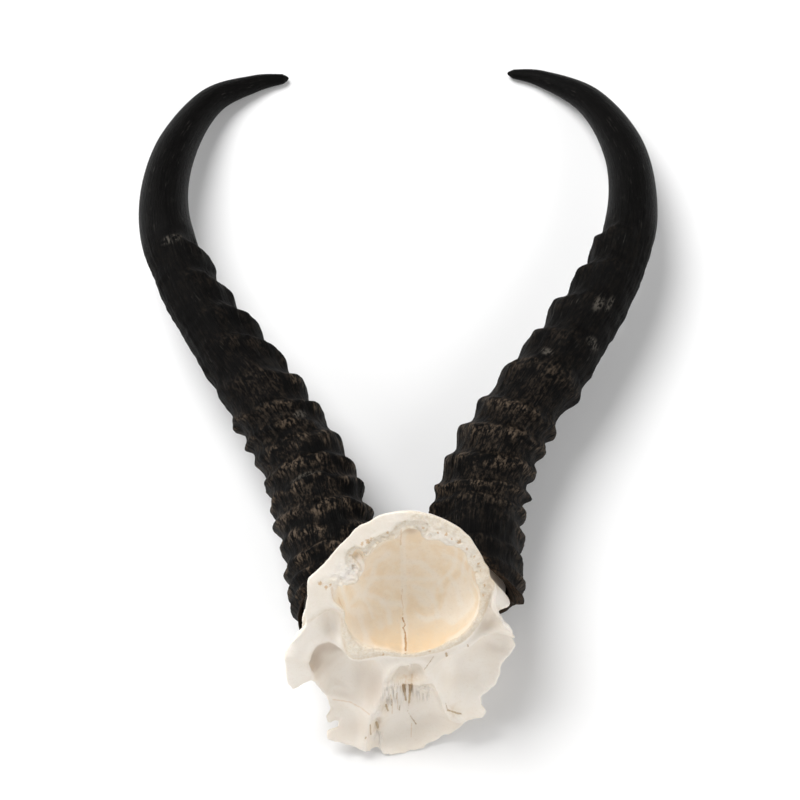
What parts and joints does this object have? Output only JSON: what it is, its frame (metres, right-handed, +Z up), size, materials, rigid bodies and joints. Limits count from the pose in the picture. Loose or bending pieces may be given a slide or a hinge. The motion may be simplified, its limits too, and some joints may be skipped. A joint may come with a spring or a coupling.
{
  "type": "springbok skull plate",
  "caption": "Sawn top of an antelope skull with open brain case, broken brow and nose edge, and ridged black horns that curve up and hook inward at the tips.",
  "frame": {"origin": "middle of the bounding box in X and Y, on the ground under the lowest point, as the plate lies on its nose edge and both horn tips", "axes": "+X to the animal's right, +Y from the nose edge towards the horn tips, +Z up; the sawn face looks up and towards -Y"},
  "size_m": [0.2394, 0.3414, 0.1156],
  "materials": {
    "bone": "dry bleached bone",
    "left_sheath": "dull black horn with dust on the ridges",
    "right_sheath": "dull black horn with dust on the ridges"
  },
  "bodies": {
    "root": {"skull_plate": "bone", "left_horn": "left_sheath", "right_horn": "right_sheath"}
  },
  "joints": []
}
